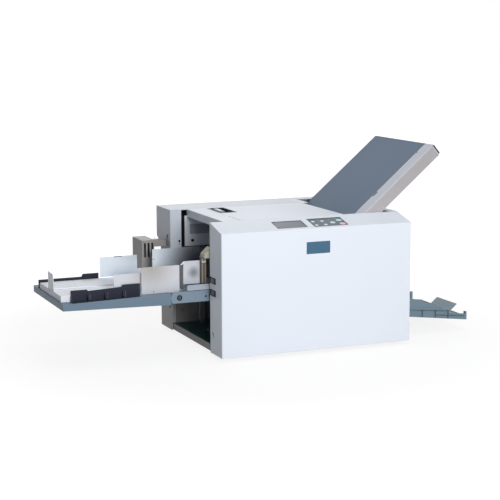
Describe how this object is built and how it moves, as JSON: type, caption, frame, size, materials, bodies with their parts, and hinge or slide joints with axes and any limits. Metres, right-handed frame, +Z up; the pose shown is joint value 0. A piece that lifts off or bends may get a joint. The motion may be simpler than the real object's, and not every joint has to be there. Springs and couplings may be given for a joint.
{
  "type": "paper folding machine",
  "caption": "Desk-top air-feed paper folding machine: feed table with side fences and folding extension tray, lidded body with sloping fold plate, low delivery tray.",
  "frame": {"origin": "centre of the overall box, at the level of the feet", "axes": "+X from the feed end to the delivery end, +Y from the front with the keys to the back, +Z up"},
  "size_m": [1.501, 0.5996, 0.6769],
  "materials": {
    "front_cover": "smooth white paint",
    "rear_cover": "smooth white paint",
    "lower_left_cover": "dark grey paint",
    "right_cover": "smooth white paint",
    "top_left_panel": "smooth white paint",
    "top_cover": "smooth white paint",
    "lid_handle": "moulded dark plastic",
    "lid_hinge": "bare steel",
    "display_window": "clear grey window",
    "key_panel": "matt blue-grey film",
    "key_minus": "moulded",
    "key_plus": "moulded",
    "key_menu": "moulded",
    "key_clear": "moulded",
    "key_test": "moulded",
    "key_start": "moulded",
    "key_stop": "moulded",
    "switch_upper": "moulded",
    "switch_lower": "moulded",
    "base_pan": "zinc plated",
    "foot_front_left": "soft rubber",
    "foot_front_right": "soft rubber",
    "foot_rear_left": "soft rubber",
    "foot_rear_right": "soft rubber",
    "front_frame": "zinc plated",
    "rear_frame": "zinc plated",
    "feed_table": "blue-grey paint",
    "tray_pivot_shaft": "turned steel",
    "extension_tray": "moulded blue-grey plastic",
    "sheet_support": "moulded white plastic",
    "tail_guide": "bent sheet",
    "near_edge_guide": "moulded black plastic",
    "far_edge_guide": "moulded black plastic",
    "near_fence": "bright sheet",
    "far_fence": "bright sheet",
    "blower_box": "moulded grey-beige plastic",
    "feed_post": "moulded beige plastic",
    "lift_guide": "zinc plated",
    "fold_roller_1": "ground rubber",
    "fold_roller_2": "ground rubber",
    "fold_roller_3": "ground rubber",
    "fold_roller_4": "ground rubber",
    "delivery_roller": "ground rubber",
    "fold_gear_1": "cut steel",
    "fold_gear_2": "cut steel",
    "motor_pinion": "cut steel",
    "main_motor": "dark paint",
    "suction_drum": "anodised",
    "suction_box": "moulded dark plastic",
    "fold_plate_1": "light grey paint",
    "fold_plate_1_panel": "slate grey paint",
    "fold_plate_1_end_cap": "moulded dark plastic",
    "fold_stop_1": "bare steel",
    "fold_plate_2": "zinc plated",
    "infeed_guide": "bare steel",
    "suction_fan_housing": "moulded dark plastic",
    "fan_impeller": "cast",
    "power_inlet": "moulded dark plastic",
    "delivery_tray": "moulded blue-grey plastic",
    "delivery_stopper": "bent sheet"
  },
  "bodies": {
    "chassis": {"front_cover": "front_cover", "rear_cover": "rear_cover", "lower_left_cover": "lower_left_cover", "right_cover": "right_cover", "top_left_panel": "top_left_panel", "lid_hinge": "lid_hinge", "display_window": "display_window", "key_panel": "key_panel", "base_pan": "base_pan", "foot_front_left": "foot_front_left", "foot_front_right": "foot_front_right", "foot_rear_left": "foot_rear_left", "foot_rear_right": "foot_rear_right", "front_frame": "front_frame", "rear_frame": "rear_frame", "blower_box": "blower_box", "feed_post": "feed_post", "lift_guide": "lift_guide", "main_motor": "main_motor", "suction_box": "suction_box", "fold_plate_1": "fold_plate_1", "fold_plate_1_panel": "fold_plate_1_panel", "fold_plate_1_end_cap": "fold_plate_1_end_cap", "fold_plate_2": "fold_plate_2", "infeed_guide": "infeed_guide", "suction_fan_housing": "suction_fan_housing", "power_inlet": "power_inlet", "delivery_tray": "delivery_tray"},
    "lid": {"top_cover": "top_cover", "lid_handle": "lid_handle"},
    "table": {"feed_table": "feed_table", "tray_pivot_shaft": "tray_pivot_shaft"},
    "tray": {"extension_tray": "extension_tray", "sheet_support": "sheet_support", "near_edge_guide": "near_edge_guide", "far_edge_guide": "far_edge_guide"},
    "tail": {"tail_guide": "tail_guide"},
    "near_side": {"near_fence": "near_fence"},
    "far_side": {"far_fence": "far_fence"},
    "roller_1": {"fold_roller_1": "fold_roller_1", "fold_gear_1": "fold_gear_1"},
    "roller_2": {"fold_roller_2": "fold_roller_2", "fold_gear_2": "fold_gear_2"},
    "roller_3": {"fold_roller_3": "fold_roller_3"},
    "roller_4": {"fold_roller_4": "fold_roller_4"},
    "delivery": {"delivery_roller": "delivery_roller"},
    "pinion": {"motor_pinion": "motor_pinion"},
    "drum": {"suction_drum": "suction_drum"},
    "fan": {"fan_impeller": "fan_impeller"},
    "stop_1": {"fold_stop_1": "fold_stop_1"},
    "stopper": {"delivery_stopper": "delivery_stopper"},
    "key_minus_cap": {"key_minus": "key_minus"},
    "key_plus_cap": {"key_plus": "key_plus"},
    "key_menu_cap": {"key_menu": "key_menu"},
    "key_clear_cap": {"key_clear": "key_clear"},
    "key_test_cap": {"key_test": "key_test"},
    "key_start_cap": {"key_start": "key_start"},
    "key_stop_cap": {"key_stop": "key_stop"},
    "switch_upper_rocker": {"switch_upper": "switch_upper"},
    "switch_lower_rocker": {"switch_lower": "switch_lower"}
  },
  "joints": [
    {"name": "lid_swing", "type": "hinge", "parent": "chassis", "child": "lid", "pos_m": [0.2435, 0, 0.441], "axis": [0, 1, 0], "range_deg": [0, 100]},
    {"name": "table_lift", "type": "slide", "parent": "chassis", "child": "table", "axis": [0, 0, 1], "range_m": [-0.05, 0.05]},
    {"name": "tray_fold", "type": "hinge", "parent": "table", "child": "tray", "pos_m": [-0.3535, 0, 0.204], "axis": [0, -1, 0], "range_deg": [0, 20]},
    {"name": "tail_slide", "type": "slide", "parent": "tray", "child": "tail", "axis": [1, 0, 0], "range_m": [0, 0.2]},
    {"name": "near_fence_slide", "type": "slide", "parent": "table", "child": "near_side", "axis": [0, 1, 0], "range_m": [0, 0.06]},
    {"name": "far_fence_slide", "type": "slide", "parent": "table", "child": "far_side", "axis": [0, -1, 0], "range_m": [0, 0.06]},
    {"name": "roller_1_spin", "type": "hinge", "parent": "chassis", "child": "roller_1", "pos_m": [0.1455, 0, 0.32885], "axis": [0, 1, 0], "continuous": true},
    {"name": "roller_2_spin", "type": "hinge", "parent": "chassis", "child": "roller_2", "pos_m": [0.1455, 0, 0.29515], "axis": [0, 1, 0], "continuous": true},
    {"name": "roller_3_spin", "type": "hinge", "parent": "chassis", "child": "roller_3", "pos_m": [0.16725, 0, 0.26941], "axis": [0, 1, 0], "continuous": true},
    {"name": "roller_4_spin", "type": "hinge", "parent": "chassis", "child": "roller_4", "pos_m": [0.16725, 0, 0.23571], "axis": [0, 1, 0], "continuous": true},
    {"name": "delivery_spin", "type": "hinge", "parent": "chassis", "child": "delivery", "pos_m": [0.4055, 0, 0.132], "axis": [0, 1, 0], "continuous": true},
    {"name": "pinion_spin", "type": "hinge", "parent": "chassis", "child": "pinion", "pos_m": [0.11812, 0, 0.29515], "axis": [0, 1, 0], "continuous": true},
    {"name": "drum_spin", "type": "hinge", "parent": "chassis", "child": "drum", "pos_m": [-0.0995, 0, 0.343], "axis": [0, 1, 0], "continuous": true},
    {"name": "fan_spin", "type": "hinge", "parent": "chassis", "child": "fan", "pos_m": [-0.0595, 0, 0.0893], "axis": [0, 1, 0], "continuous": true},
    {"name": "fold_stop_slide", "type": "slide", "parent": "chassis", "child": "stop_1", "axis": [0.7638, 0, 0.6455], "range_m": [-0.13, 0.15]},
    {"name": "stopper_slide", "type": "slide", "parent": "chassis", "child": "stopper", "axis": [0.9923, 0, -0.124], "range_m": [-0.05, 0.05]},
    {"name": "key_minus_press", "type": "slide", "parent": "chassis", "child": "key_minus_cap", "axis": [0, 0.2423, -0.9702], "range_m": [0, 0.0008], "stiffness_N_per_m": 400, "springref_m": -0.0005},
    {"name": "key_plus_press", "type": "slide", "parent": "chassis", "child": "key_plus_cap", "axis": [0, 0.2423, -0.9702], "range_m": [0, 0.0008], "stiffness_N_per_m": 400, "springref_m": -0.0005},
    {"name": "key_menu_press", "type": "slide", "parent": "chassis", "child": "key_menu_cap", "axis": [0, 0.2423, -0.9702], "range_m": [0, 0.0008], "stiffness_N_per_m": 400, "springref_m": -0.0005},
    {"name": "key_clear_press", "type": "slide", "parent": "chassis", "child": "key_clear_cap", "axis": [0, 0.2423, -0.9702], "range_m": [0, 0.0008], "stiffness_N_per_m": 400, "springref_m": -0.0005},
    {"name": "key_test_press", "type": "slide", "parent": "chassis", "child": "key_test_cap", "axis": [0, 0.2423, -0.9702], "range_m": [0, 0.0008], "stiffness_N_per_m": 400, "springref_m": -0.0005},
    {"name": "key_start_press", "type": "slide", "parent": "chassis", "child": "key_start_cap", "axis": [0, 0.2423, -0.9702], "range_m": [0, 0.0008], "stiffness_N_per_m": 400, "springref_m": -0.0005},
    {"name": "key_stop_press", "type": "slide", "parent": "chassis", "child": "key_stop_cap", "axis": [0, 0.2423, -0.9702], "range_m": [0, 0.0008], "stiffness_N_per_m": 400, "springref_m": -0.0005},
    {"name": "switch_upper_rock", "type": "hinge", "parent": "chassis", "child": "switch_upper_rocker", "pos_m": [-0.24825, -0.22175, 0.2605], "axis": [0, -1, 0], "range_deg": [0, 10]},
    {"name": "switch_lower_rock", "type": "hinge", "parent": "chassis", "child": "switch_lower_rocker", "pos_m": [-0.24825, -0.22175, 0.219], "axis": [0, -1, 0], "range_deg": [0, 10]}
  ],
  "couplings": [
    {"joint": "far_fence_slide", "follows": "near_fence_slide", "ratio": 1},
    {"joint": "roller_2_spin", "follows": "roller_1_spin", "ratio": -1},
    {"joint": "roller_3_spin", "follows": "roller_1_spin", "ratio": 1},
    {"joint": "roller_4_spin", "follows": "roller_1_spin", "ratio": -1},
    {"joint": "pinion_spin", "follows": "roller_1_spin", "ratio": 1.6},
    {"joint": "delivery_spin", "follows": "roller_1_spin", "ratio": 1.1929}
  ]
}
